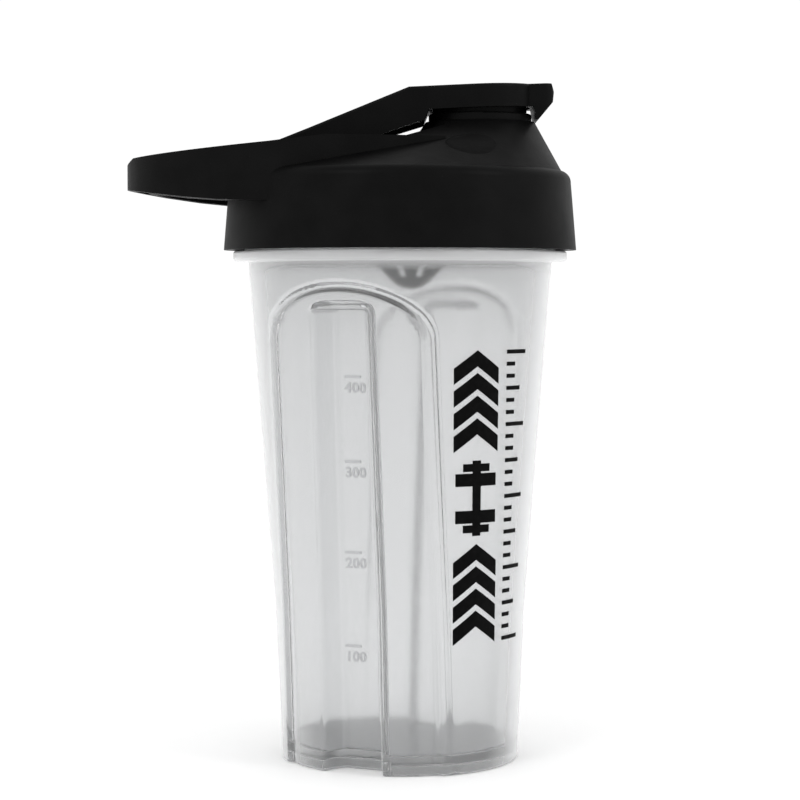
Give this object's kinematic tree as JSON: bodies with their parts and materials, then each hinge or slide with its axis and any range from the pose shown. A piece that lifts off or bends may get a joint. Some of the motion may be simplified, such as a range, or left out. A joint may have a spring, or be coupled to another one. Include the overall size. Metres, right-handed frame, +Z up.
{
  "type": "protein shaker bottle",
  "caption": "Translucent shaker cup with grip grooves and a black screw lid that carries a flip cap over its spout, a carry loop and a mixing cone.",
  "frame": {"origin": "centre of the cup's foot, on the plane it stands on", "axes": "+Z up along the cup's axis, +X towards the spout, -X towards the carry loop"},
  "size_m": [0.1301, 0.1022, 0.1954],
  "materials": {
    "cup_plastic": "frosted translucent moulded plastic",
    "lid_plastic": "black moulded plastic with a faint satin sheen",
    "cap_plastic": "black moulded plastic with a faint satin sheen",
    "pin_steel": "plain ground steel",
    "seal_silicone": "soft grey silicone",
    "gasket_silicone": "soft grey silicone",
    "strainer_plastic": "black moulded plastic"
  },
  "bodies": {
    "cup": {"cup": "cup_plastic"},
    "gasket": {"lid_gasket": "gasket_silicone"},
    "lid": {"lid": "lid_plastic", "hinge_pin": "pin_steel"},
    "cap": {"flip_cap": "cap_plastic", "spout_seal": "seal_silicone"},
    "strainer": {"mixing_strainer": "strainer_plastic"}
  },
  "joints": [
    {"name": "lid_lift", "type": "slide", "parent": "cup", "child": "gasket", "axis": [0, 0, 1], "range_m": [0, 0.036]},
    {"name": "lid_turn", "type": "hinge", "parent": "gasket", "child": "lid", "pos_m": [0, 0, 0.165], "axis": [0, 0, 1], "range_deg": [0, 1080]},
    {"name": "cap_hinge", "type": "hinge", "parent": "lid", "child": "cap", "pos_m": [-0.0386, 0, 0.1727], "axis": [0, -1, 0], "range_deg": [0, 140]},
    {"name": "strainer_pull", "type": "slide", "parent": "lid", "child": "strainer", "axis": [0, 0, -1], "range_m": [0, 0.018]}
  ],
  "couplings": [
    {"joint": "lid_lift", "follows": "lid_turn", "m_per_rad": 0.0019099}
  ]
}
